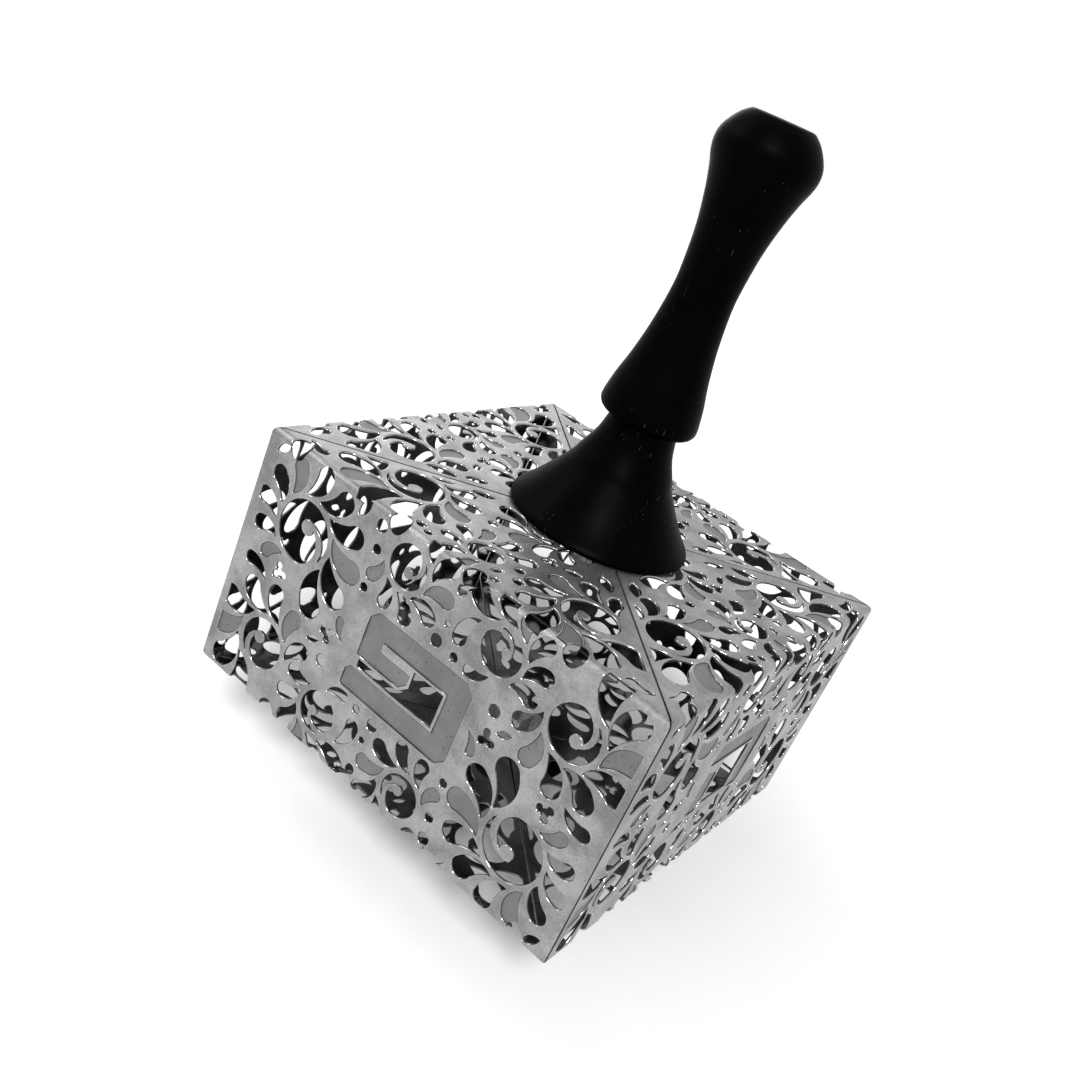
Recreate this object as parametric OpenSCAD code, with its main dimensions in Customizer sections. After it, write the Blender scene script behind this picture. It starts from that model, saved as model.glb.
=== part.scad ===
// Spinning dreidel: a hollow box of four folded sheets of pierced scrollwork,
// carried on one axis between a turned handle and a turned point.
// Up is +Z. The origin is the lowest spot of the point, on the spin axis.

/* [Body] */
// Width of the square body, across the outer faces
body_w = 75; // [60:1:100]
// Height of the body, over the top and bottom sheets
body_h = 42.6; // [36:0.2:56]
// Thickness of the sheet
sheet_t = 0.5; // [0.4:0.1:0.8]
// Outer radius of the folds between a side and its flaps
fold_r = 1.1; // [1:0.1:1.6]
// Open seam between two neighbouring panels
seam_gap = 0.2; // [0.1:0.05:0.3]

/* [Scrollwork] */
// Metal left along the seams and between neighbouring openings
web = 0.95; // [0.8:0.05:1.4]
// Depth of the half-etched fingers
etch_d = 0.2; // [0.1:0.05:0.3]
// Width of the plain place for the sign in the middle of a side
sign_w = 25; // [20:0.5:28]
// Height of the plain place for the sign
sign_h = 15; // [12:0.5:17]
// Radius of the notches where the scrollwork breaks a fold
notch_r = 1.7; // [1.2:0.1:2.2]

/* [Handle] */
// Height of the collar, from the body to the neck
collar_h = 18.8; // [16:0.2:24]
// Radius of the collar where it stands on the body
collar_r = 15.2; // [13:0.1:18]
// Height of the upright rim at the foot of the collar
rim_h = 0.9; // [0.6:0.1:1.6]
// Radius of the neck, the narrow top of the collar
neck_r = 5.5; // [4.6:0.1:6.4]
// Length of the grip, from its skirt to its flat top
grip_h = 47.2; // [40:0.2:56]
// Largest radius of the grip's head
head_r = 8.1; // [7:0.1:9.5]
// Radius of the flat top of the head
flat_r = 4.7; // [3:0.1:6]
// Radius of the grip's waist
waist_r = 4.8; // [4.2:0.1:5.6]
// Radius of the skirt at the foot of the grip
skirt_r = 8; // [7:0.1:9.5]

/* [Point] */
// Distance from the body down to the tip
point_h = 22; // [17:0.5:26]
// Radius of the point where it meets the body
point_r = 13; // [10:0.1:15]
// Radius of the rounded tip
tip_r = 1.6; // [1:0.1:2.4]

/* [Studs] */
// Radius of the studs that hold the handle and the point
stud_r = 2; // [1.5:0.1:2.4]
// Length of the handle's stud above the body
handle_stud_l = 40; // [30:0.5:50]
// Length of the point's stud below the body
point_stud_l = 12; // [9:0.5:14]
// Radius of the washers inside the body
washer_r = 8; // [6:0.1:12]
// Thickness of the washers
washer_t = 1; // [0.8:0.1:1.6]
// Width of the nuts across their flats
nut_w = 7; // [6:0.1:8]
// Thickness of the nuts
nut_t = 3.2; // [2.4:0.1:4]
// Clearance round a stud in its holes
stud_gap = 0.1; // [0.05:0.05:0.2]

/* [Hidden] */
$fn = 48;
overrun = 1;

body_bottom = point_h;
body_top = body_bottom + body_h;
neck_z = body_top + collar_h;
flap_d = body_w / 2;
hole_r = stud_r + stud_gap;

// One unit of the scrollwork, which keeps its shape when one side of the body changes
side_ratio_share = 0.568;
unit = min(body_w, body_h / side_ratio_share);
finger_l = unit * 0.068;
finger_w = unit * 0.053;
finger_lean = 8;
finger_bend_share = 1.7;
// The head is a little fuller than the tail's two arcs, so that it crosses them cleanly
head_share = 1.03;
finger_fade_share = 0.045;
etched_step = 4;

// Scrolls of half a side: place across and up, radius, first finger, fingers, step, finger size, hand
side_scroll_shares = [
    [-0.345, 0.225, 0.067, -60, 11, 29, 1, 1],
    [-0.354, -0.268, 0.055, -103, 8, 33, 1, -1],
    [-0.085, 0.375, 0.045, 65, 7, 34, 0.74, -1],
    [-0.163, -0.337, 0.046, -40, 6, 33, 0.76, -1],
];
// Loose fingers of half a side: place across and up, length, width, turn, hand, etched
side_finger_shares = [
    [-0.452, 0.003, 0.05, 0.028, 8, 1, false],
    [-0.072, -0.284, 0.055, 0.032, 275, 1, false],
    [-0.115, -0.205, 0.04, 0.022, 170, -1, false],
    [-0.186, 0.035, 0.036, 0.02, 268, -1, true],
];
// Pointed leaves of half a side: place across and up, length, width, turn
side_leaf_shares = [
    [-0.222, 0.455, 0.044, 0.02, 62],
    [-0.456, 0.45, 0.04, 0.017, 40],
    [-0.135, 0.468, 0.03, 0.012, 25],
    [-0.235, -0.1, 0.034, 0.014, 25],
];
// Trefoils of half a side: place across and up, size, turn
side_trefoil_shares = [
    [-0.37, 0.03, 0.03, 20],
    [-0.206, -0.045, 0.03, 75],
];
// Dots of half a side: place across and up, radius
side_dot_shares = [
    [-0.172, 0.44, 0.013],
    [-0.165, 0.355, 0.01],
    [-0.041, -0.43, 0.011],
    [-0.03, -0.22, 0.013],
    [-0.198, -0.148, 0.013],
    [-0.163, 0.205, 0.009],
    [0.078, 0.21, 0.009],
    [0.04, 0.298, 0.007],
];

// Scrolls of a flap: place across, place in from the fold, then as above
flap_scroll_shares = [
    [-0.234, 0.3, 0.061, 180, 10, 30, 1, 1],
    [0.232, 0.27, 0.057, -10, 9, 32, 0.96, -1],
    [0.002, 0.195, 0.036, 50, 7, 38, 0.58, 1],
    [0, 0.635, 0.041, 192, 7, 34, 0.7, 1],
];
flap_finger_shares = [
    [-0.388, 0.07, 0.042, 0.024, 192, 1, false],
    [0.392, 0.075, 0.042, 0.024, -15, -1, false],
];
flap_leaf_shares = [
    [-0.165, 0.585, 0.055, 0.022, 40],
    [0.17, 0.565, 0.055, 0.022, 140],
    [0.118, 0.475, 0.036, 0.016, 30],
    [0.055, 0.135, 0.028, 0.012, 65],
];
flap_trefoil_shares = [
    [0.072, 0.44, 0.024, 15],
];
flap_dot_shares = [
    [-0.116, 0.075, 0.01],
    [0.098, 0.16, 0.01],
    [0.075, 0.07, 0.009],
    [-0.072, 0.42, 0.01],
    [0.072, 0.235, 0.009],
    [-0.088, 0.055, 0.008],
    [-0.3, 0.42, 0.009],
];

// Notches along a fold, as shares of the body's width from its middle
notch_shares = [-0.42, -0.14, 0.05, 0.29];

// Pointed oval along X, centred
module leaf(length, width) {
    arc_r = (length * length + width * width) / (4 * width);
    intersection() {
        translate([0, arc_r - width / 2]) circle(arc_r);
        translate([0, width / 2 - arc_r]) circle(arc_r);
    }
}

// Curved finger: a round head at the origin and a tail that runs along +X and bends down
module finger(length, width) {
    bend_r = length * finger_bend_share;
    head = width / 2;
    tip_y = sqrt(bend_r * bend_r - length * length) - bend_r - head;
    drop = head - tip_y;
    back_r = (length * length + drop * drop) / (2 * drop);
    circle(head * head_share);
    difference() {
        intersection() {
            translate([0, head - back_r]) circle(back_r);
            translate([0, -2 * back_r]) square([2 * back_r, 4 * back_r]);
        }
        translate([0, -head - bend_r]) circle(bend_r);
    }
}

// Three lobes round a centre
module trefoil(size) {
    circle(size * 0.3);
    for (turn = [90, 210, 330])
        rotate(turn) translate([size * 0.42, 0]) circle(size * 0.27);
}

// Round opening with a hooked scroll left standing in it
module volute(r) {
    hook_r = r * 0.72;
    difference() {
        circle(r);
        translate([r * 0.32, 0]) {
            difference() {
                circle(hook_r);
                rotate(250) translate([r / 4, 0]) circle(hook_r);
            }
            rotate(156) translate([r / 2, 0]) circle(r / 4);
        }
    }
}

// Volute with a fan of fingers unfolding round it, each a little smaller than the last.
// Every few fingers one is only etched, and is drawn on its own.
module scroll(r, fingers, step, size, etched) {
    if (!etched) volute(r);
    for (i = [0 : fingers - 1]) {
        fade = size * (1 - finger_fade_share * i);
        is_etched = i % etched_step == 2;
        if (is_etched == etched)
            rotate(i * step) translate([r + web + finger_l * fade, 0])
                rotate(180 + finger_lean) finger(finger_l * fade, finger_w * fade);
    }
}

module hand(side) { mirror([0, side < 0 ? 1 : 0]) children(); }

// Scrolls and fillers from one set of tables, over a field of the given size
module scrollwork(field_w, field_h, scrolls, fingers, leaves, trefoils, dots, etched) {
    for (s = scrolls)
        translate([s[0] * field_w, s[1] * field_h])
            rotate(s[3]) hand(s[7]) scroll(s[2] * unit, s[4], s[5], s[6], etched);
    for (s = fingers)
        if (s[6] == etched)
            translate([s[0] * field_w, s[1] * field_h])
                rotate(s[4]) hand(s[5]) finger(s[2] * unit, s[3] * unit);
    if (!etched) {
        for (s = leaves)
            translate([s[0] * field_w, s[1] * field_h])
                rotate(s[4]) leaf(s[2] * unit, s[3] * unit);
        for (s = trefoils)
            translate([s[0] * field_w, s[1] * field_h]) rotate(s[3]) trefoil(s[2] * unit);
        for (s = dots)
            translate([s[0] * field_w, s[1] * field_h]) circle(s[2] * unit);
    }
}

// Openings, or etched fingers, of one side about its middle; X runs across and Y up
module side_pattern(etched) {
    intersection() {
        square([body_w - 2 * (web + sheet_t), body_h + 2 * overrun], center = true);
        difference() {
            for (half = [0, 180])
                rotate(half)
                    scrollwork(body_w, body_h, side_scroll_shares, side_finger_shares,
                               side_leaf_shares, side_trefoil_shares, side_dot_shares, etched);
            square([sign_w, sign_h], center = true);
        }
    }
}

// Openings, or etched fingers, of one flap; its fold lies on Y = 0 and its tip at Y = flap_d
module flap_pattern(etched, hub_r) {
    reach = flap_d - (web + seam_gap) * sqrt(2);
    difference() {
        intersection() {
            polygon([[-reach - overrun, -overrun], [reach + overrun, -overrun], [0, reach]]);
            scrollwork(body_w, flap_d, flap_scroll_shares, flap_finger_shares,
                       flap_leaf_shares, flap_trefoil_shares, flap_dot_shares, etched);
        }
        translate([0, flap_d]) circle(hub_r);
    }
}

// Half section of the channel, across the fold direction: X is outward depth from the axis, Y is height
module channel_half(inset, corner_r, reach) {
    outer_x = -flap_d + inset;
    low = body_bottom + inset;
    high = body_top - inset;
    translate([outer_x + corner_r, low]) square([flap_d - inset - corner_r + reach, high - low]);
    translate([outer_x, low + corner_r]) square([flap_d - inset, high - low - 2 * corner_r]);
    for (height = [low + corner_r, high - corner_r])
        translate([outer_x + corner_r, height]) circle(corner_r);
}

// Sheet folded into a side and two flaps, mitred at its seams, with no openings yet
module folded_sheet() {
    mitre = seam_gap / sqrt(2);
    intersection() {
        rotate([90, 0, 90]) linear_extrude(body_w, center = true) difference() {
            channel_half(0, fold_r, 0);
            channel_half(sheet_t, fold_r - sheet_t, overrun);
        }
        linear_extrude(body_top + overrun)
            polygon([[0, -mitre], [mitre - flap_d, -flap_d], [flap_d - mitre, -flap_d]]);
    }
}

// One panel, as it stands on the front of the body
module panel() {
    middle_z = (body_bottom + body_top) / 2;
    cut_t = sheet_t + 2 * overrun;
    difference() {
        folded_sheet();
        // Openings and etched fingers of the side
        translate([0, -flap_d - overrun, middle_z]) rotate([90, 0, 0])
            mirror([0, 0, 1]) linear_extrude(cut_t) side_pattern(false);
        translate([0, -flap_d - overrun, middle_z]) rotate([90, 0, 0])
            mirror([0, 0, 1]) linear_extrude(overrun + etch_d) side_pattern(true);
        // Openings and etched fingers of the two flaps
        translate([0, -flap_d, body_top - sheet_t - overrun])
            linear_extrude(cut_t) flap_pattern(false, washer_r + web);
        translate([0, -flap_d, body_top - etch_d])
            linear_extrude(etch_d + overrun) flap_pattern(true, washer_r + web);
        translate([0, -flap_d, body_bottom - overrun])
            linear_extrude(cut_t) flap_pattern(false, washer_r + web);
        translate([0, -flap_d, body_bottom - overrun])
            linear_extrude(etch_d + overrun) flap_pattern(true, washer_r + web);
        // Notches through both folds
        for (place = notch_shares) {
            translate([place * body_w, -flap_d, body_top]) rotate([45, 0, 0])
                cylinder(r = notch_r, h = 2 * (notch_r + 2 * sheet_t), center = true);
            translate([-place * body_w, -flap_d, body_bottom]) rotate([-45, 0, 0])
                cylinder(r = notch_r, h = 2 * (notch_r + 2 * sheet_t), center = true);
        }
        // Hole for the studs at the tips of the flaps
        cylinder(r = hole_r, h = body_top + overrun);
    }
}

steel = [0.78, 0.78, 0.77];
black = [0.06, 0.06, 0.06];

module front_panel() { color(steel) panel(); }
module right_panel() { color(steel) rotate(90) panel(); }
module back_panel() { color(steel) rotate(180) panel(); }
module left_panel() { color(steel) rotate(270) panel(); }

// Outline of the grip, as a half section with its skirt on Y = 0
module grip_outline() {
    skirt_z = grip_h * 0.06;
    waist_z = grip_h * 0.445;
    flare_z = grip_h * 0.853;
    head_z = grip_h * 0.875;
    flare_r = flat_r + (head_r - flat_r) * 0.9;
    polygon(concat(
        [[0, 0], [skirt_r * 0.72, 0]],
        [for (turn = [-75 : 15 : 15])
            [skirt_r * (0.8 + 0.2 * cos(turn)), skirt_z * (1 + sin(turn))]],
        [for (step = [0.1 : 0.1 : 0.9])
            [waist_r + (skirt_r - waist_r) * pow(1 - step, 1.8), skirt_z + (waist_z - skirt_z) * step]],
        [for (step = [0 : 0.1 : 1])
            [waist_r + (flare_r - waist_r) * pow(step, 1.75), waist_z + (flare_z - waist_z) * step]],
        [for (turn = [0 : 10 : 70])
            [flat_r + (head_r - flat_r) * cos(turn), head_z + (grip_h - head_z) * sin(turn)]],
        [[flat_r, grip_h], [0, grip_h]]));
}

module grip() {
    color(black) translate([0, 0, neck_z]) difference() {
        rotate_extrude() grip_outline();
        translate([0, 0, -overrun])
            cylinder(r = stud_r, h = handle_stud_l - collar_h + overrun);
    }
}

// Outline of the collar: an upright rim, then a hollow flare up to the neck
module collar_outline() {
    polygon(concat(
        [[0, 0], [collar_r, 0]],
        [for (step = [0 : 0.1 : 1])
            [neck_r + (collar_r - neck_r) * pow(1 - step, 1.55), rim_h + (collar_h - rim_h) * step]],
        [[0, collar_h]]));
}

module collar() {
    color(black) translate([0, 0, body_top]) difference() {
        rotate_extrude() collar_outline();
        translate([0, 0, -overrun]) cylinder(r = hole_r, h = collar_h + 2 * overrun);
    }
}

module handle_stud() {
    below = sheet_t + washer_t + nut_t + stud_r;
    color("silver") translate([0, 0, body_top - below]) cylinder(r = stud_r, h = below + handle_stud_l);
}

module washer() {
    difference() {
        cylinder(r = washer_r, h = washer_t);
        translate([0, 0, -overrun]) cylinder(r = hole_r, h = washer_t + 2 * overrun);
    }
}

module nut() {
    difference() {
        cylinder(r = nut_w / sqrt(3), h = nut_t, $fn = 6);
        translate([0, 0, -overrun]) cylinder(r = stud_r, h = nut_t + 2 * overrun);
    }
}

module handle_washer() {
    color("silver") translate([0, 0, body_top - sheet_t - washer_t]) washer();
}

module handle_nut() {
    color("silver") translate([0, 0, body_top - sheet_t - washer_t - nut_t]) nut();
}

// Outline of the point, as a half section from the tip up to the body
module point_outline() {
    polygon(concat(
        [[0, tip_r], [tip_r * cos(30), tip_r * (1 - sin(30))]],
        [for (step = [0.1 : 0.1 : 1])
            [tip_r + (point_r - tip_r) * pow(step, 1.35), tip_r + (point_h - rim_h - tip_r) * step]],
        [[point_r, point_h], [0, point_h]]));
    intersection() {
        translate([0, tip_r]) circle(tip_r);
        square([tip_r, tip_r]);
    }
}

module point() {
    color(black) difference() {
        rotate_extrude() point_outline();
        translate([0, 0, body_bottom - point_stud_l]) cylinder(r = stud_r, h = point_stud_l + overrun);
    }
}

module point_stud() {
    above = sheet_t + washer_t + nut_t + stud_r;
    color("silver") translate([0, 0, body_bottom - point_stud_l])
        cylinder(r = stud_r, h = above + point_stud_l);
}

module point_washer() {
    color("silver") translate([0, 0, body_bottom + sheet_t]) washer();
}

module point_nut() {
    color("silver") translate([0, 0, body_bottom + sheet_t + washer_t]) nut();
}

front_panel();
right_panel();
back_panel();
left_panel();
grip();
collar();
handle_stud();
handle_washer();
handle_nut();
point();
point_stud();
point_washer();
point_nut();
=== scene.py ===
"""Looks of a spinning dreidel: a box of pierced, folded steel sheets with a turned black handle and point.

Lengths are in metres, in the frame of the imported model: +Z up the spin axis, origin at the tip.
"""

import math

import bmesh
import bpy
from mathutils import Matrix, Vector
from mathutils.bvhtree import BVHTree


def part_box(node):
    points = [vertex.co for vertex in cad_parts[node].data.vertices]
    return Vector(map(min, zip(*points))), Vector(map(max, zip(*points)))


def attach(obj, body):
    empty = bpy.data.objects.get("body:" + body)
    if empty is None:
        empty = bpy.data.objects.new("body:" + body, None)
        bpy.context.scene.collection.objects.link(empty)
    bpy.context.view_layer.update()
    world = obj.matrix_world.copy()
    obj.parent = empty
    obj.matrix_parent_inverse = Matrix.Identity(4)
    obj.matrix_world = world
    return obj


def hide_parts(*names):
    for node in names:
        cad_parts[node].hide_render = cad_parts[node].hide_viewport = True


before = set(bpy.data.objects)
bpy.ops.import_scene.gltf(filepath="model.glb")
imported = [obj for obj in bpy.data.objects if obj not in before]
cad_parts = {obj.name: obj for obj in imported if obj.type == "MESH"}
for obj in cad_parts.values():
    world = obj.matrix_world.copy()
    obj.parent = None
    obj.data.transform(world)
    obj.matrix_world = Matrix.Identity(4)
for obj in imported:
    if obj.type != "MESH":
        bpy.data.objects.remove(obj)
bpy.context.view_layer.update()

MM = 0.001

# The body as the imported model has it, and its sheets
panel_low, panel_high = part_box("front_panel")
BODY_W = -2 * panel_low.y
BODY_BOTTOM = panel_low.z
BODY_TOP = panel_high.z
BODY_MIDDLE = (BODY_BOTTOM + BODY_TOP) / 2
SHEET_T = 0.5 * MM
FOLD_R = 1.1 * MM


# Node trees

# Colour sockets of a Mix node
MIX_A = 6
MIX_B = 7
MIX_RESULT = 2


def map_range(tree, value, source, target, interpolation="LINEAR"):
    """Takes a value from the source range to the target range, each given as (low, high)."""
    node = tree.nodes.new("ShaderNodeMapRange")
    node.interpolation_type = interpolation
    for name, number in zip(("From Min", "From Max", "To Min", "To Max"), source + target):
        node.inputs[name].default_value = number
    tree.links.new(value, node.inputs["Value"])
    return node.outputs["Result"]


def combine(tree, operation, first, second):
    """Math node on two linked values."""
    node = tree.nodes.new("ShaderNodeMath")
    node.operation = operation
    tree.links.new(first, node.inputs[0])
    tree.links.new(second, node.inputs[1])
    return node.outputs[0]


class Nodes:
    """The node tree of one material, with short calls for what the materials here need."""

    def __init__(self, name):
        self.material = bpy.data.materials.new(name)
        self.material.use_nodes = True
        self.tree = self.material.node_tree
        self.shader = self.tree.nodes["Principled BSDF"]
        self.place = self.tree.nodes.new("ShaderNodeTexCoord").outputs["Object"]

    def put(self, kind, **values):
        """A new node. Each value goes to the input of that name, or else to the node's own setting."""
        node = self.tree.nodes.new(kind)
        for name, value in values.items():
            if name in node.inputs:
                node.inputs[name].default_value = value
            else:
                setattr(node, name, value)
        return node

    def link(self, out, into):
        """Links an output socket into an input socket."""
        self.tree.links.new(out, into)

    def noise(self, scale, detail=3.0, roughness=0.5, stretch=None):
        """Noise over the object's own coordinates; scale counts blobs per metre."""
        node = self.put("ShaderNodeTexNoise", Scale=scale, Detail=detail, Roughness=roughness)
        place = self.place
        if stretch:
            mapping = self.put("ShaderNodeMapping", Scale=stretch)
            self.link(place, mapping.inputs["Vector"])
            place = mapping.outputs["Vector"]
        self.link(place, node.inputs["Vector"])
        return node.outputs["Fac"]

    def cells(self, scale):
        """Distance to the nearest of scattered points; scale counts points per metre."""
        node = self.put("ShaderNodeTexVoronoi", Scale=scale)
        self.link(self.place, node.inputs["Vector"])
        return node.outputs["Distance"]

    def ramp(self, fac, *stops):
        """Colour ramp from (place, level) stops; a level is a grey or an (r, g, b) colour."""
        node = self.put("ShaderNodeValToRGB")
        band = node.color_ramp.elements
        while len(band) < len(stops):
            band.new(0.5)
        for element, (place, level) in zip(band, stops):
            element.position = place
            element.color = (*level, 1) if isinstance(level, tuple) else (level, level, level, 1)
        self.link(fac, node.inputs["Fac"])
        return node.outputs["Color"]

    def scale(self, value, source, target):
        """Takes a value from one (low, high) range to another."""
        return map_range(self.tree, value, source, target)

    def blend(self, fac, a, b, mode="MIX"):
        """Mixes the colour b into the colour a; fac is a number or linked, and b a colour or linked."""
        node = self.put("ShaderNodeMix", data_type="RGBA", blend_type=mode)
        if isinstance(fac, float):
            node.inputs["Factor"].default_value = fac
        else:
            self.link(fac, node.inputs["Factor"])
        self.link(a, node.inputs[MIX_A])
        if isinstance(b, tuple):
            node.inputs[MIX_B].default_value = b
        else:
            self.link(b, node.inputs[MIX_B])
        return node.outputs[MIX_RESULT]

    def bump(self, *layers):
        """Stacks bumps, each given as (height, depth in metres, strength)."""
        normal = None
        for height, distance, strength in layers:
            node = self.put("ShaderNodeBump", Distance=distance, Strength=strength)
            self.link(height, node.inputs["Height"])
            if normal:
                self.link(normal, node.inputs["Normal"])
            normal = node.outputs["Normal"]
        self.link(normal, self.shader.inputs["Normal"])


# Materials

# Patterns of the finishes, in blobs per metre
STEEL_CLOUDS = 180
STEEL_PITS = 900
LACQUER_CLOUDS = 160
LACQUER_GRAIN = 5200
LATHE_RINGS = 1500
DUST_SPECKS = 1100
DUST_PATCHES = 260
HAIR_SCRATCHES = 3400
SCRATCH_PATCHES = 70

# Stretch of the noise along the spin axis, and across it
ALONG_AXIS = (1.0, 1.0, 0.03)
ACROSS_AXIS = (0.02, 0.02, 1.0)

# Most of a noise's values lie in this range
NOISE_RANGE = (0.3, 0.7)

# Blue of a dark and of a light grey, as shares of their red
DARK_BLUE_SHARE = 0.995
LIGHT_BLUE_SHARE = 0.985

# How strongly the steel's grain darkens its colour, and how strongly the bumps show
GRAIN_SHADE = 0.6
GRAIN_BUMP = 0.6
SOFT_BUMP = 0.5
CLOUD_DEPTH = 0.02 * MM
LACQUER_DEPTH = 0.012 * MM
RING_DEPTH = 0.01 * MM

LACQUER_ROUGHNESS = (0.34, 0.46)
LACQUER_SPECULAR = 0.015
MARK_COLOUR = (0.11, 0.11, 0.105, 1)


def steel(name, grey, roughness, grains, depth, pits=0.0):
    """Etched or polished stainless steel: a grey that drifts, a fine grain and a few dark pits.

    grey and roughness are given as (low, high), grains counts the grains per metre, depth is how deep
    they go, and pits says how strongly the pits show.
    """
    n = Nodes(name)
    n.shader.inputs["Metallic"].default_value = 1.0
    grain = n.noise(grains, detail=4.0, roughness=0.65)
    cloud = n.noise(STEEL_CLOUDS, detail=5.0, roughness=0.65)
    low, high = grey
    dark = (low, low, low * DARK_BLUE_SHARE)
    light = (high, high, high * LIGHT_BLUE_SHARE)
    colour = n.ramp(cloud, (0.37, dark), (0.63, light))
    speckle = n.ramp(grain, (0.36, 0.6), (0.58, 1.0))
    colour = n.blend(GRAIN_SHADE, colour, speckle, mode="MULTIPLY")
    if pits:
        spots = n.ramp(n.cells(STEEL_PITS), (0.05, 0.12), (0.16, 1.0))
        colour = n.blend(pits, colour, spots, mode="MULTIPLY")
    n.link(colour, n.shader.inputs["Base Color"])
    n.link(n.scale(grain, NOISE_RANGE, roughness), n.shader.inputs["Roughness"])
    n.bump((grain, depth, GRAIN_BUMP), (cloud, CLOUD_DEPTH, SOFT_BUMP))
    return n.material


def dust(n):
    """Mask of dust specks, which lie in patches."""
    specks = n.ramp(n.cells(DUST_SPECKS), (0.045, 1.0), (0.085, 0.0))
    patches = n.ramp(n.noise(DUST_PATCHES, detail=2.0), (0.58, 0.0), (0.68, 0.8))
    return n.blend(1.0, specks, patches, mode="MULTIPLY")


def scratches(n):
    """Mask of hair scratches along the spin axis, which lie in patches."""
    hairs = n.noise(HAIR_SCRATCHES, detail=1.0, roughness=0.4, stretch=ALONG_AXIS)
    hairs = n.ramp(hairs, (0.72, 0.0), (0.77, 0.35))
    patches = n.ramp(n.noise(SCRATCH_PATCHES, detail=1.0), (0.56, 0.0), (0.64, 1.0))
    return n.blend(1.0, hairs, patches, mode="MULTIPLY")


def black_turning(name):
    """Black lacquered turning: satin, with faint lathe rings, dust specks and hair scratches."""
    n = Nodes(name)
    cloud = n.noise(LACQUER_CLOUDS, detail=4.0, roughness=0.6)
    grain = n.noise(LACQUER_GRAIN, detail=3.0, roughness=0.6)
    rings = n.noise(LATHE_RINGS, detail=2.0, stretch=ACROSS_AXIS)
    colour = n.ramp(cloud, (0.35, 0.0002), (0.7, 0.0007))
    marks = n.blend(1.0, dust(n), scratches(n), mode="LIGHTEN")
    n.link(n.blend(marks, colour, MARK_COLOUR), n.shader.inputs["Base Color"])
    n.link(n.scale(cloud, NOISE_RANGE, LACQUER_ROUGHNESS), n.shader.inputs["Roughness"])
    n.shader.inputs["Specular IOR Level"].default_value = LACQUER_SPECULAR
    n.bump((grain, LACQUER_DEPTH, GRAIN_BUMP), (rings, RING_DEPTH, SOFT_BUMP))
    return n.material


# The surfaces of a sheet, and their materials in that order. The inside and wall steels are darker copies
# of the same steel: painted shade inside the box and on the openings' walls
FACE, RIM, ETCHED, INSIDE, WALL = range(5)
SHEET_MATERIALS = [
    steel("sheet_face", grey=(0.24, 0.42), roughness=(0.36, 0.5), grains=2800, depth=0.012 * MM, pits=0.35),
    steel("sheet_rim", grey=(0.28, 0.42), roughness=(0.1, 0.17), grains=4000, depth=0.006 * MM),
    steel("sheet_etched", grey=(0.2, 0.25), roughness=(0.5, 0.64), grains=7000, depth=0.02 * MM, pits=0.75),
    steel("sheet_inside_painted_shade", grey=(0.03, 0.08), roughness=(0.12, 0.26), grains=3000, depth=0.006 * MM),
    steel("sheet_wall_painted_shade", grey=(0.05, 0.12), roughness=(0.26, 0.4), grains=4000, depth=0.008 * MM),
]
HARDWARE = steel("zinc_hardware", grey=(0.3, 0.38), roughness=(0.24, 0.34), grains=2500, depth=0.004 * MM)
BLACK = black_turning("black_turning")


# Signs

# Height of a game letter, and how deep its strokes are etched
SIGN_H = 14.2 * MM
SIGN_DEPTH = 0.2 * MM

# The cutters stand this proud of the sheet, and those of the openings reach this deep
OVERRUN = 1 * MM
OPENING_DEPTH = 2 * MM

# The letters are drawn on a grid, with this many units in a letter's height.
# Each has its strokes, which are etched, and the openings that are cut between them.
LETTER_UNITS = 4
LETTERS = {
    "pe": {
        "width": 6.2,
        "strokes": [[
            (0.2, 0), (5.8, 0), (6.2, 0.4), (6.2, 3.6), (5.8, 4), (0.9, 4), (0.5, 3.6), (0.5, 1.7),
            (2.9, 1.7), (3.25, 2.05), (3.25, 2.5), (1.55, 2.5), (1.55, 2.95), (5.15, 2.95), (5.15, 1.05),
            (0.45, 1.05), (0.2, 0.8)]],
        "openings": [
            [(0.7, 1.21), (4.99, 1.21), (4.99, 2.79), (3.41, 2.79), (3.41, 1.98), (2.97, 1.54),
             (0.7, 1.54)]],
    },
    "hei": {
        "width": 5.4,
        "strokes": [
            [(0, 3.2), (0.25, 4), (5.0, 4), (5.4, 3.6), (5.4, 0), (4.35, 0), (4.35, 2.95), (0, 2.95)],
            [(0.3, 0), (1.35, 0), (1.35, 2.15), (0.3, 2.45)]],
        "openings": [
            [(1.52, 0.15), (4.18, 0.15), (4.18, 2.78), (1.52, 2.78)]],
    },
    "gimel": {
        "width": 4.6,
        "strokes": [[
            (0.9, 3.3), (1.15, 4), (3.8, 4), (4.2, 3.6), (4.2, 0), (3.15, 0), (3.15, 1.15), (1.1, 0),
            (0.3, 0), (0.3, 0.6), (3.15, 2.2), (3.15, 2.95), (0.9, 2.95)]],
        "openings": [
            [(0.5, 0.95), (2.98, 2.3), (2.98, 2.78), (0.5, 2.78)],
            [(1.6, 0.15), (2.98, 0.15), (2.98, 0.9)]],
    },
    "nun": {
        "width": 4.4,
        "strokes": [[
            (0.5, 0), (4.0, 0), (4.4, 0.4), (4.4, 3.6), (4.0, 4), (1.6, 4), (1.35, 3.3), (1.35, 2.95),
            (3.35, 2.95), (3.35, 1.05), (0.25, 1.05), (0.25, 0.25)]],
        "openings": [
            [(0.6, 1.22), (3.18, 1.22), (3.18, 2.78), (0.6, 2.78)]],
    },
}

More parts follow.
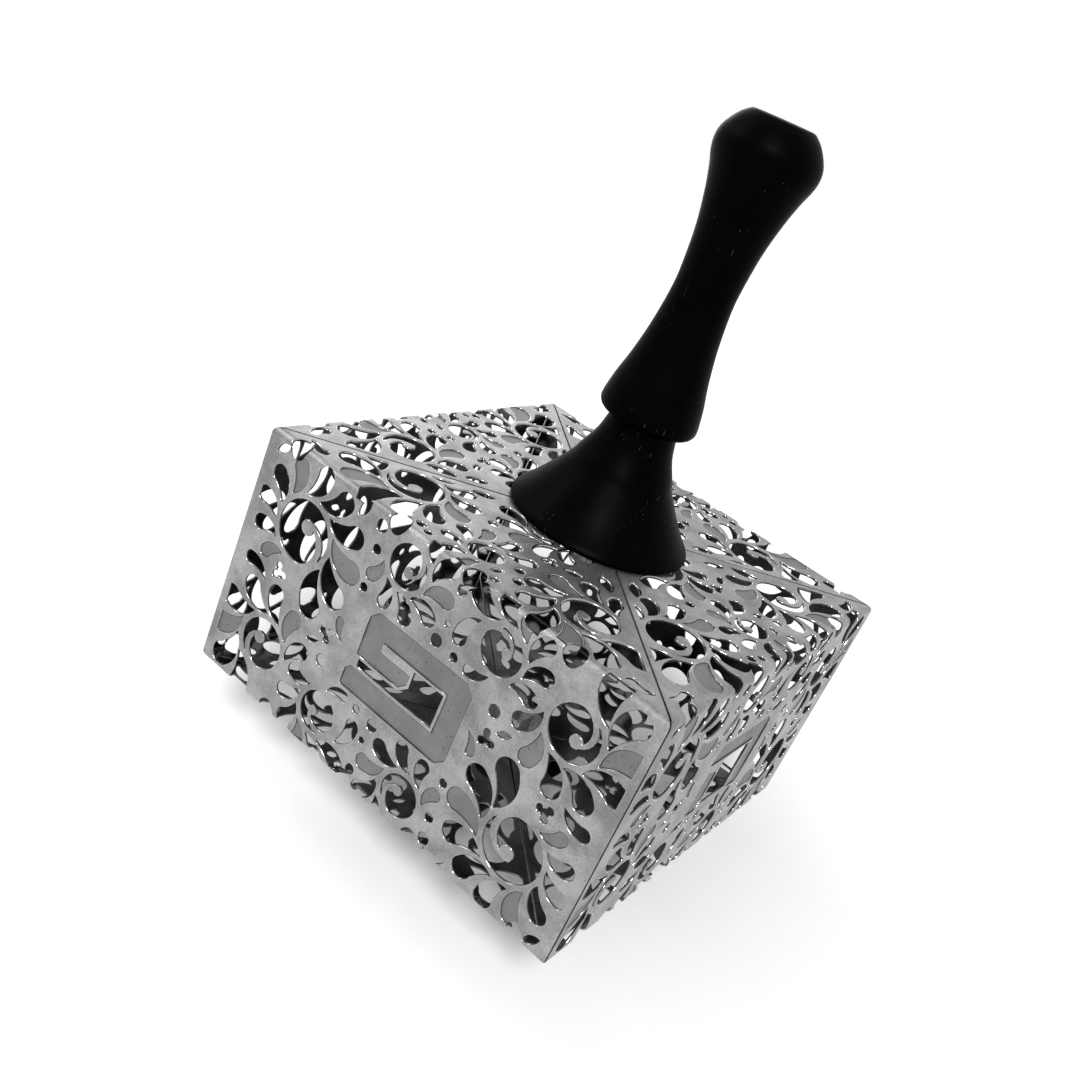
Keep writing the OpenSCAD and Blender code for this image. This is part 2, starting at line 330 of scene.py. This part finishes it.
# Openings beside a letter narrower than LEAF_ROOM: place across from its middle and up from its foot,
# length, width, and turn in radians
LEAF_OPENINGS = [
    (-3.0, 2.9, 1.5, 0.7, 1.9),
    (-3.0, 1.1, 1.5, 0.7, -1.9),
    (3.0, 1.1, 1.5, 0.7, 1.9),
    (3.0, 2.9, 1.5, 0.7, -1.9),
]
LEAF_ROOM = 5.0
LEAF_POINTS = 24


def leaf(x, y, length, width, turn):
    """Outline of a pointed oval about (x, y)."""
    points = []
    for i in range(LEAF_POINTS):
        angle = 2 * math.pi * i / LEAF_POINTS
        bulge = math.sin(angle)
        along = length / 2 * math.cos(angle)
        across = width / 2 * bulge * math.sqrt(abs(bulge))
        points.append((x + along * math.cos(turn) - across * math.sin(turn),
                       y + along * math.sin(turn) + across * math.cos(turn)))
    return points


def sign_outlines(letter, key):
    """Outlines of a letter's strokes or openings in grid units, from the middle of the letter."""
    width = LETTERS[letter]["width"]
    outlines = [[(x - width / 2, y - LETTER_UNITS / 2) for x, y in outline]
                for outline in LETTERS[letter][key]]
    if key == "openings" and width < LEAF_ROOM:
        outlines += [leaf(x, y - LETTER_UNITS / 2, leaf_l, leaf_w, turn)
                     for x, y, leaf_l, leaf_w, turn in LEAF_OPENINGS]
    return outlines


def prism(bm, points, outer_y, inner_y):
    """Closed prism over (x, z) points, from outer_y to inner_y."""
    ends = [[bm.verts.new((x, y, z)) for x, z in points] for y in (outer_y, inner_y)]
    bm.faces.new(ends[0])
    bm.faces.new(list(reversed(ends[1])))
    for i in range(len(points)):
        j = (i + 1) % len(points)
        bm.faces.new([ends[0][j], ends[0][i], ends[1][i], ends[1][j]])


def sign_cutter(letter, key, depth):
    """Cutter for a letter's strokes or openings, in the place of the front panel."""
    unit = SIGN_H / LETTER_UNITS
    outer_face = -BODY_W / 2
    bm = bmesh.new()
    for outline in sign_outlines(letter, key):
        points = [(x * unit, BODY_MIDDLE + y * unit) for x, y in outline]
        prism(bm, points, outer_face - OVERRUN, outer_face + depth)
    bmesh.ops.recalc_face_normals(bm, faces=bm.faces)
    mesh = bpy.data.meshes.new(f"{letter}_{key}_cutter")
    bm.to_mesh(mesh)
    bm.free()
    cutter = bpy.data.objects.new(mesh.name, mesh)
    bpy.context.scene.collection.objects.link(cutter)
    return cutter


# Surfaces of a sheet

# A wall lower than this belongs to a half-etched pocket
POCKET_DEPTH_LIMIT = 0.35 * MM

# A face whose corners differ less in depth lies along the sheet
LEVEL_SLACK = 0.01 * MM

# Cosine of the most that a face of the sheet may turn away from the sheet's own direction
FACING_LIMIT = 0.9


def sheet_depth(point):
    """How deep a point of the front panel lies under the sheet's outer face, and that face's direction."""
    from_side = point.y + BODY_W / 2
    top = point.z > BODY_MIDDLE
    from_flap = BODY_TOP - point.z if top else point.z - BODY_BOTTOM
    up = Vector((0, 0, 1 if top else -1))
    out = Vector((0, -1, 0))
    if from_side < FOLD_R and from_flap < FOLD_R:
        across = out * (FOLD_R - from_side) + up * (FOLD_R - from_flap)
        return FOLD_R - across.length, across.normalized()
    return (from_side, out) if from_side < from_flap else (from_flap, up)


def outer_kind(depth):
    """Whether a face that looks out is the sheet's own face or the floor of an etched pocket."""
    return FACE if depth < SIGN_DEPTH / 2 else ETCHED


def face_kind(face):
    """Which surface of the sheet a face belongs to: by its depth, or by its direction where that varies."""
    depths = [sheet_depth(vert.co)[0] for vert in face.verts]
    depth, out = sheet_depth(face.calc_center_median())
    if max(depths) - min(depths) < LEVEL_SLACK:
        return INSIDE if depth > SHEET_T - 2 * LEVEL_SLACK else outer_kind(depth)
    facing = face.normal.dot(out)
    if facing > FACING_LIMIT:
        return outer_kind(depth)
    return INSIDE if facing < -FACING_LIMIT else WALL


# Rounded rims

# How far each kind of rounding reaches into the flat face, and down the wall
OUTER_RIM = (0.26 * MM, 0.25 * MM)
INNER_RIM = (0.15 * MM, 0.15 * MM)
POCKET_RIM = (0.2 * MM, 0.13 * MM)
POCKET_FOOT = (0.1 * MM, 0.05 * MM)
SEAM_RIM = (0.1 * MM, 0.1 * MM)

# Rims this near to a mitred seam are seam rims
SEAM_BAND = 0.5 * MM

# Faces round each rounding
RIM_STEPS = 3

# The most of the metal's width, and of the wall's height, that one rounding takes
RIM_ROOM_SHARE = 0.42
DROP_SHARE = 0.65

# The metal's width is measured from this far in from the corner and under the face
PROBE_AHEAD = 0.02 * MM
PROBE_UNDER = 0.05 * MM

# Keeps the reach into a sharp corner to twice that along a straight rim
LEAST_MITRE = 0.5

# What one round of settling leaves of a rounding, and the most rounds
SETTLE_SHARE = 0.75
SETTLE_ROUNDS = 24


class Rim:
    """One vertex of a rim: its corner, the ways into the flat face and down the wall, and how far
    the rounding reaches each way. flat_edges are the rim's edges here, each with its flat face."""

    def __init__(self, vert, flat_edges, solid):
        self.corner = vert.co.copy()
        self.out = sheet_depth(vert.co)[1]
        flat = max((face for edge, face in flat_edges), key=lambda face: face.calc_area())
        self.flat_out = {FACE: self.out, INSIDE: -self.out}.get(flat.material_index, flat.normal).copy()
        inward = [self.into_face(edge, face) for edge, face in flat_edges[:2]]
        spread = sum(inward, Vector())
        spread -= self.flat_out * spread.dot(self.flat_out)
        mitre = max(1 + inward[0].dot(inward[1]), LEAST_MITRE) if len(inward) > 1 else 1.0
        self.flat_way = spread / mitre
        self.wall_way, wall_length = self.down_wall(vert)
        walls = [face for face in vert.link_faces if face.material_index == WALL]
        concave = sum((face.normal for face in walls), Vector()).dot(spread) > 0
        self.wall_out = spread.normalized() * (1 if concave else -1)
        inside = flat.material_index == INSIDE
        at_seam = -vert.co.y - abs(vert.co.x) < SEAM_BAND
        # Rims on the sheet's inner side, at the feet of pockets and along the seams take the dark wall
        # steel. This is painted shade, which along the seams makes dark joint lines. The other rims take
        # the rim steel
        self.bright = not (inside or concave or at_seam)
        self.reach, self.drop = self.rounding(walls, inside, concave, at_seam)
        narrow = min(1.0, self.room(solid) * RIM_ROOM_SHARE / self.reach)
        self.reach *= narrow
        self.drop = min(self.drop * narrow, wall_length * DROP_SHARE)

    @staticmethod
    def rounding(walls, inside, concave, at_seam):
        """The rounding that this place has, if it has room."""
        if at_seam:
            return SEAM_RIM
        if concave:
            return POCKET_FOOT
        if inside:
            return INNER_RIM
        depths = [sheet_depth(vert.co)[0] for wall in walls for vert in wall.verts]
        through = max(depths) - min(depths) > POCKET_DEPTH_LIMIT
        return OUTER_RIM if through else POCKET_RIM

    @staticmethod
    def into_face(edge, face):
        """Direction from an edge into its flat face, square to the edge."""
        along = (edge.verts[1].co - edge.verts[0].co).normalized()
        across = face.calc_center_median() - edge.verts[0].co
        return (across - along * across.dot(along)).normalized()

    def down_wall(self, vert):
        """Direction and length of the wall's own edge that runs most squarely through the sheet here."""
        best, way, length = 0.0, -self.out, SHEET_T
        for edge in vert.link_edges:
            if all(face.material_index == WALL for face in edge.link_faces):
                step = (edge.other_vert(vert).co - vert.co).normalized()
                squareness = abs(step.dot(self.out))
                if squareness > best:
                    best, way, length = squareness, step, edge.calc_length()
        return way, length

    def room(self, solid):
        """Width of the metal across from this vertex, just under the flat face."""
        ahead = self.flat_way.normalized()
        start = self.corner + ahead * PROBE_AHEAD - self.flat_out * PROBE_UNDER
        limit = self.reach / RIM_ROOM_SHARE
        return solid.ray_cast(start, ahead, limit)[3] or limit

    def shrink(self, on_wall):
        """Takes the rounding back on the wall, or else on the flat face."""
        if on_wall:
            self.drop *= SETTLE_SHARE
        else:
            self.reach *= SETTLE_SHARE

    def ring(self, share):
        """Place and normal on the rounding, from the flat face at 0 to the wall at 1."""
        turn = share * math.pi / 2
        inward = self.flat_way * self.reach * (1 - math.sin(turn))
        down = self.wall_way * self.drop * (1 - math.cos(turn))
        normal = self.flat_out * self.reach * math.cos(turn) + self.wall_out * self.drop * math.sin(turn)
        return self.corner + inward + down, normal.normalized()


def find_rims(bm):
    """The edges where a flat face meets a wall, and the Rim of each of their vertices."""
    rim_edges = []
    flat_edges = {}
    for edge in bm.edges:
        flats = [face for face in edge.link_faces if face.material_index != WALL]
        if len(edge.link_faces) == 2 and len(flats) == 1:
            rim_edges.append((edge, flats[0]))
            for vert in edge.verts:
                flat_edges.setdefault(vert, []).append((edge, flats[0]))
    solid = BVHTree.FromBMesh(bm)
    return rim_edges, {vert: Rim(vert, edges, solid) for vert, edges in flat_edges.items()}


def rim_share(face):
    """Where on the rounding a face begins: at the wall for a wall, and at the flat face for others."""
    return 1 if face.material_index == WALL else 0


def turned_over(face, rims):
    """Whether the roundings would turn a triangle over."""
    share = rim_share(face)
    a, b, c = [rims[vert].ring(share)[0] if vert in rims else vert.co for vert in face.verts]
    return (b - a).cross(c - a).dot(face.normal) < 0


def settle(bm, rims):
    """Takes the roundings back, round by round, at each triangle that they would turn over."""
    doubtful = set(bm.faces)
    for _ in range(SETTLE_ROUNDS):
        turned = [face for face in doubtful if turned_over(face, rims)]
        crowded = {(vert, face.material_index == WALL)
                   for face in turned for vert in face.verts if vert in rims}
        for vert, on_wall in crowded:
            rims[vert].shrink(on_wall)
        doubtful = {face for vert, on_wall in crowded for face in vert.link_faces}


def round_rims(bm, name):
    """A new mesh in which every rim of the sheet is rounded, with exact normals."""
    rim_edges, rims = find_rims(bm)
    settle(bm, rims)
    places, normals, faces, kinds = [], [], [], []
    number = {}

    def corner(vert, share):
        """Number of the new vertex at a share of a vertex's rounding, or of the vertex if it has none."""
        key = (vert, share if vert in rims else None)
        if key not in number:
            place, normal = rims[vert].ring(share) if vert in rims else (vert.co, vert.normal.copy())
            number[key] = len(places)
            places.append(place)
            normals.append(normal)
        return number[key]

    for face in bm.faces:
        faces.append([corner(vert, rim_share(face)) for vert in face.verts])
        kinds.append(face.material_index)
    for edge, flat in rim_edges:
        loop = next(loop for loop in edge.link_loops if loop.face == flat)
        first, second = loop.link_loop_next.vert, loop.vert
        for step in range(RIM_STEPS):
            near, far = step / RIM_STEPS, (step + 1) / RIM_STEPS
            faces.append([corner(first, near), corner(second, near),
                          corner(second, far), corner(first, far)])
            # Roundings of rims that aren't bright take the dark wall steel: painted shade
            kinds.append(RIM if rims[first].bright and rims[second].bright else WALL)
    mesh = bpy.data.meshes.new(name)
    mesh.from_pydata(places, [], faces)
    for material in SHEET_MATERIALS:
        mesh.materials.append(material)
    mesh.polygons.foreach_set("material_index", kinds)
    mesh.shade_smooth()
    mesh.normals_split_custom_set_from_vertices(normals)
    return mesh


# Panels

# Vertices nearer than this are one, in the CAD mesh and after the cuts
CAD_WELD = 0.002 * MM
CUT_WELD = 0.02 * MM

# Cosine beyond which two faces are one flat surface
FLAT_LIMIT = 0.999999

# The panels in quarter turns from the front, with their letters
PANELS = [("front_panel", "hei"), ("right_panel", "gimel"), ("back_panel", "nun"), ("left_panel", "pe")]


def weld(mesh):
    """Joins the triangles of a CAD mesh."""
    bm = bmesh.new()
    bm.from_mesh(mesh)
    bmesh.ops.remove_doubles(bm, verts=bm.verts, dist=CAD_WELD)
    bm.to_mesh(mesh)
    bm.free()


def cut(obj, cutter):
    """Cuts an object with a cutter, and deletes the cutter."""
    boolean = obj.modifiers.new("cut", "BOOLEAN")
    boolean.solver = "EXACT"
    boolean.operation = "DIFFERENCE"
    boolean.object = cutter
    depsgraph = bpy.context.evaluated_depsgraph_get()
    mesh = bpy.data.meshes.new_from_object(obj.evaluated_get(depsgraph))
    obj.modifiers.clear()
    obj.data = mesh
    bpy.data.objects.remove(cutter)


def even_out(bm):
    """Turns the edges inside each flat surface, so that it has no needle-like triangles."""
    inner = [edge for edge in bm.edges if len(edge.link_faces) == 2
             and edge.link_faces[0].normal.dot(edge.link_faces[1].normal) > FLAT_LIMIT]
    bmesh.ops.beautify_fill(bm, faces=bm.faces, edges=inner, method="ANGLE")
    bm.normal_update()


def finished_sheet(mesh, name):
    """The cut sheet with its surfaces told apart and its rims rounded."""
    bm = bmesh.new()
    bm.from_mesh(mesh)
    bmesh.ops.remove_doubles(bm, verts=bm.verts, dist=CUT_WELD)
    bmesh.ops.triangulate(bm, faces=bm.faces)
    bm.normal_update()
    even_out(bm)
    for face in bm.faces:
        face.material_index = face_kind(face)
    finished = round_rims(bm, name)
    bm.free()
    return finished


def make_panel(name, quarter_turns, letter):
    """One folded sheet with rounded rims and its letter, in place of the plain CAD panel."""
    turn = Matrix.Rotation(quarter_turns * math.pi / 2, 4, "Z")
    obj = bpy.data.objects.new(name + "_lace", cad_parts[name].data.copy())
    bpy.context.scene.collection.objects.link(obj)
    obj.data.transform(turn.inverted())
    weld(obj.data)
    cut(obj, sign_cutter(letter, "strokes", SIGN_DEPTH))
    cut(obj, sign_cutter(letter, "openings", OPENING_DEPTH))
    obj.data = finished_sheet(obj.data, obj.name)
    obj.matrix_world = turn
    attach(obj, "root")
    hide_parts(name)


# Turned pieces

# Their outlines are (radius, height) points, in millimetres above the foot of each
TURNING_SEGMENTS = 160
SHARP_ANGLE = math.radians(40)

# Radius of the edge at the broad ends of the collar and of the point, and how far in their flats end
EDGE_R = 0.5
EDGE_INSET = 0.6


def smooth_line(points, steps):
    """Catmull-Rom curve through (radius, height) points."""
    ends = [points[0]] + points + [points[-1]]
    line = []
    for i in range(1, len(ends) - 2):
        p0, p1, p2, p3 = (Vector(p) for p in ends[i - 1:i + 3])
        for k in range(steps):
            t = k / steps
            line.append(0.5 * (2 * p1 + (p2 - p0) * t + (2 * p0 - 5 * p1 + 4 * p2 - p3) * t * t
                               + (3 * p1 - p0 - 3 * p2 + p3) * t * t * t))
    line.append(Vector(points[-1]))
    return [tuple(place) for place in line]


def arc(centre_r, centre_z, radius, start, end, steps=6):
    """Arc of an outline about (centre_r, centre_z), with angles in degrees from the outward direction."""
    angles = [math.radians(start + (end - start) * k / steps) for k in range(steps + 1)]
    return [(centre_r + radius * math.cos(a), centre_z + radius * math.sin(a)) for a in angles]


def lathe_ring(bm, radius, z):
    """The vertices of one level: a circle, or one vertex on the axis."""
    if radius == 0:
        return [bm.verts.new((0, 0, z))]
    angles = [2 * math.pi * k / TURNING_SEGMENTS for k in range(TURNING_SEGMENTS)]
    return [bm.verts.new((radius * MM * math.cos(a), radius * MM * math.sin(a), z)) for a in angles]


def lathe(name, outline, base_z):
    """Mesh of the solid of revolution of an outline, with its foot at base_z."""
    bm = bmesh.new()
    rings = [lathe_ring(bm, radius, base_z + height * MM) for radius, height in outline]
    for low, high in zip(rings, rings[1:]):
        for k in range(TURNING_SEGMENTS):
            j = (k + 1) % TURNING_SEGMENTS
            corners = [low[k % len(low)], low[j % len(low)], high[j % len(high)], high[k % len(high)]]
            bm.faces.new(list(dict.fromkeys(corners)))
    bmesh.ops.recalc_face_normals(bm, faces=bm.faces)
    mesh = bpy.data.meshes.new(name)
    bm.to_mesh(mesh)
    bm.free()
    mesh.shade_smooth()
    mesh.set_sharp_from_angle(angle=SHARP_ANGLE)
    return mesh


def make_turning(name, node, outline):
    """Black turned piece in place of a CAD node."""
    mesh = lathe(name, outline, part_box(node)[0].z)
    mesh.materials.append(BLACK)
    obj = bpy.data.objects.new(name, mesh)
    bpy.context.scene.collection.objects.link(obj)
    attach(obj, "root")
    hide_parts(node)


def broad_and_high(node):
    """Largest radius and height of a CAD node in millimetres."""
    low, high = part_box(node)
    return high.x / MM, (high.z - low.z) / MM


def make_collar():
    """Hollow-sided cone on the middle of the top."""
    foot_r, height = broad_and_high("collar")
    outline = [(0, 0), (foot_r - EDGE_INSET, 0)]
    outline += arc(foot_r - EDGE_R, EDGE_R, EDGE_R, -70, 40)
    outline += smooth_line([(14.9, 1.15), (13.2, 3.1), (11.6, 5.2), (8.9, 9.2), (7.9, 11.4), (6.45, 14.6),
                            (5.75, 17.4), (5.5, height)], 6)
    outline += [(0, height)]
    make_turning("turned_collar", "collar", outline)


def make_grip():
    """Waisted handle with a skirt at its foot and a flat-topped head."""
    head_r, height = broad_and_high("grip")
    skirt_r = 8.0
    skirt_edge_r = 1.5
    seat_r = 5.6
    top_r = 4.55
    outline = [(0, 0), (seat_r, 0)]
    outline += arc(skirt_r - skirt_edge_r, skirt_edge_r, skirt_edge_r, -72, 12)
    outline += smooth_line(
        [(7.93, 2.3), (7.4, 5.2), (6.4, 9.2), (5.45, 14.4), (4.85, 20.2), (4.85, 24.0), (5.3, 29.6),
         (6.2, 34.6), (7.1, 38.0), (7.85, 40.2), (head_r, 41.9), (7.85, 43.4), (7.1, 44.8), (6.1, 46.1),
         (5.1, 46.95)], 5)
    outline += [(4.85, height - 0.1), (top_r, height), (0, height)]
    make_turning("turned_grip", "grip", outline)


def make_point():
    """Hollow-sided cone under the body, down to its round tip."""
    foot_r, height = broad_and_high("point")
    tip_r = 1.6
    outline = [(0, 0)] + arc(0, tip_r, tip_r, -80, -25, 5)
    outline += smooth_line([(1.65, 1.4), (2.5, 3.2), (3.9, 6.2), (6.0, 10.2), (8.6, 14.6),
                            (12.6, height - 1.4)], 6)
    outline += arc(foot_r - EDGE_R, height - EDGE_R, EDGE_R, -40, 70)
    outline += [(foot_r - EDGE_INSET, height), (0, height)]
    make_turning("turned_point", "point", outline)


# Hardware

# The nodes inside the body, which keep their CAD shape
HARDWARE_NODES = ["handle_stud", "handle_washer", "handle_nut", "point_stud", "point_washer", "point_nut"]


def finish_hardware(node):
    """Zinc finish for a CAD node."""
    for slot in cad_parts[node].material_slots:
        slot.material = HARDWARE


# Floor and world

# Width of the floor, and the grey of its paper
FLOOR_SIZE = 6.0
FLOOR_GREY = 0.93

# White that the floor adds for the rays that see the background, and the world's light on the object
FLOOR_GLOW = 0.265
WORLD_LIGHT = 0.22

# Painted shadow: the floor's added white is none within the first radius of the shadow's middle, and full
# beyond the second
SHADOW_MIDDLE = (0.045, 0.02, 0.0)
SHADOW_CORE_R = 0.035
SHADOW_EDGE_R = 0.1


def background_rays(tree):
    """1 for camera, glossy and transmission rays, which see the white background."""
    path = tree.nodes.new("ShaderNodeLightPath")
    seen = path.outputs["Is Camera Ray"]
    for name in ("Is Glossy Ray", "Is Transmission Ray"):
        seen = combine(tree, "MAXIMUM", seen, path.outputs[name])
    return seen


def outside_painted_shadow(tree):
    """The floor's added white: none in a disc behind the object, which paints a shadow over the key's soft
    shadow there, and full around it.
    """
    place = tree.nodes.new("ShaderNodeTexCoord").outputs["Object"]
    away = tree.nodes.new("ShaderNodeVectorMath")
    away.operation = "DISTANCE"
    away.inputs[1].default_value = SHADOW_MIDDLE
    tree.links.new(place, away.inputs[0])
    return map_range(tree, away.outputs["Value"], (SHADOW_CORE_R, SHADOW_EDGE_R), (0.0, FLOOR_GLOW),
                     "SMOOTHSTEP")


def floor_paper():
    """Pale paper, which shows white as a background does, save for a painted shadow behind the object."""
    material = bpy.data.materials.new("floor_paper")
    material.use_nodes = True
    tree = material.node_tree
    tree.nodes.clear()
    diffuse = tree.nodes.new("ShaderNodeBsdfDiffuse")
    diffuse.inputs["Color"].default_value = (FLOOR_GREY, FLOOR_GREY, FLOOR_GREY, 1)
    glow = tree.nodes.new("ShaderNodeEmission")
    strength = combine(tree, "MULTIPLY", background_rays(tree), outside_painted_shadow(tree))
    tree.links.new(strength, glow.inputs["Strength"])
    add = tree.nodes.new("ShaderNodeAddShader")
    tree.links.new(diffuse.outputs[0], add.inputs[0])
    tree.links.new(glow.outputs[0], add.inputs[1])
    out = tree.nodes.new("ShaderNodeOutputMaterial")
    tree.links.new(add.outputs[0], out.inputs["Surface"])
    return material


def make_stage():
    """Floor under the tip, which keeps the soft shadow."""
    bm = bmesh.new()
    bmesh.ops.create_grid(bm, x_segments=1, y_segments=1, size=FLOOR_SIZE / 2)
    mesh = bpy.data.meshes.new("floor")
    bm.to_mesh(mesh)
    bm.free()
    mesh.materials.append(floor_paper())
    floor = bpy.data.objects.new("floor", mesh)
    bpy.context.scene.collection.objects.link(floor)


def make_world():
    """White to the rays that see the background, and a plain grey light to the others."""
    world = bpy.data.worlds.new("studio")
    bpy.context.scene.world = world
    world.use_nodes = True
    tree = world.node_tree
    background = tree.nodes["Background"]
    background.inputs["Color"].default_value = (1, 1, 1, 1)
    strength = map_range(tree, background_rays(tree), (0.0, 1.0), (WORLD_LIGHT, 1.0))
    tree.links.new(strength, background.inputs["Strength"])


# Camera

# As found for the photograph: the place, the heading in degrees round from +X, the dip below level, the
# roll about the camera's own axis, and the lens and sensor in millimetres
CAMERA_PLACE = (-157.658 * MM, -72.026 * MM, 133.886 * MM)
CAMERA_HEADING = 27.017
CAMERA_DIP = 23.729
CAMERA_ROLL = 23.848
CAMERA_LENS = 38.57
CAMERA_SENSOR = 36.0
CAMERA_NEAR = 5 * MM
CAMERA_TURN = (Matrix.Rotation(math.radians(CAMERA_HEADING - 90), 4, "Z")
               @ Matrix.Rotation(math.radians(90 - CAMERA_DIP), 4, "X")
               @ Matrix.Rotation(math.radians(CAMERA_ROLL), 4, "Z"))


def make_camera():
    """The photograph's camera."""
    camera = bpy.data.cameras.new("camera")
    camera.lens = CAMERA_LENS
    camera.sensor_width = CAMERA_SENSOR
    camera.clip_start = CAMERA_NEAR
    obj = bpy.data.objects.new("camera", camera)
    bpy.context.scene.collection.objects.link(obj)
    obj.matrix_world = Matrix.Translation(CAMERA_PLACE) @ CAMERA_TURN
    bpy.context.scene.camera = obj


# Lamps

# The key's direction from the object, its spread in degrees and its strength
KEY_DIRECTION = Vector((-0.95, -0.45, 1))
KEY_SPREAD = 12
KEY_STRENGTH = 2.65

# The softboxes, with their directions as the camera sees them: right, up, toward the camera
SOFTBOXES = {
    "top": {"direction": (-0.55, 1, 0.2), "distance": 0.6, "size": 0.21, "brightness": 5.5},
    "rear": {"direction": (0, 0.8, -1), "distance": 0.7, "size": 0.3, "brightness": 2.0},
}


def make_key():
    """Distant lamp, whose shadow falls behind the object."""
    light = bpy.data.lights.new("key", "SUN")
    light.angle = math.radians(KEY_SPREAD)
    light.energy = KEY_STRENGTH
    lamp = bpy.data.objects.new("key", light)
    bpy.context.scene.collection.objects.link(lamp)
    lamp.location = KEY_DIRECTION
    lamp.rotation_euler = KEY_DIRECTION.to_track_quat("Z", "Y").to_euler()


def make_softbox(name, direction, distance, size, brightness):
    """Square softbox of the given brightness, which looks at the body's middle."""
    light = bpy.data.lights.new(name, "AREA")
    light.shape = "SQUARE"
    light.size = size
    light.energy = brightness * math.pi * size * size
    lamp = bpy.data.objects.new(name, light)
    bpy.context.scene.collection.objects.link(lamp)
    target = Vector((0, 0, BODY_MIDDLE))
    lamp.location = target + (CAMERA_TURN.to_3x3() @ Vector(direction)).normalized() * distance
    lamp.rotation_euler = (target - lamp.location).to_track_quat("-Z", "Y").to_euler()


make_camera()
for quarter_turns, (panel, letter) in enumerate(PANELS):
    make_panel(panel, quarter_turns, letter)
make_collar()
make_grip()
make_point()
for node in HARDWARE_NODES:
    finish_hardware(node)
make_stage()
make_world()
make_key()
for name, settings in SOFTBOXES.items():
    make_softbox(name, **settings)
bpy.context.scene.view_settings.view_transform = "Standard"
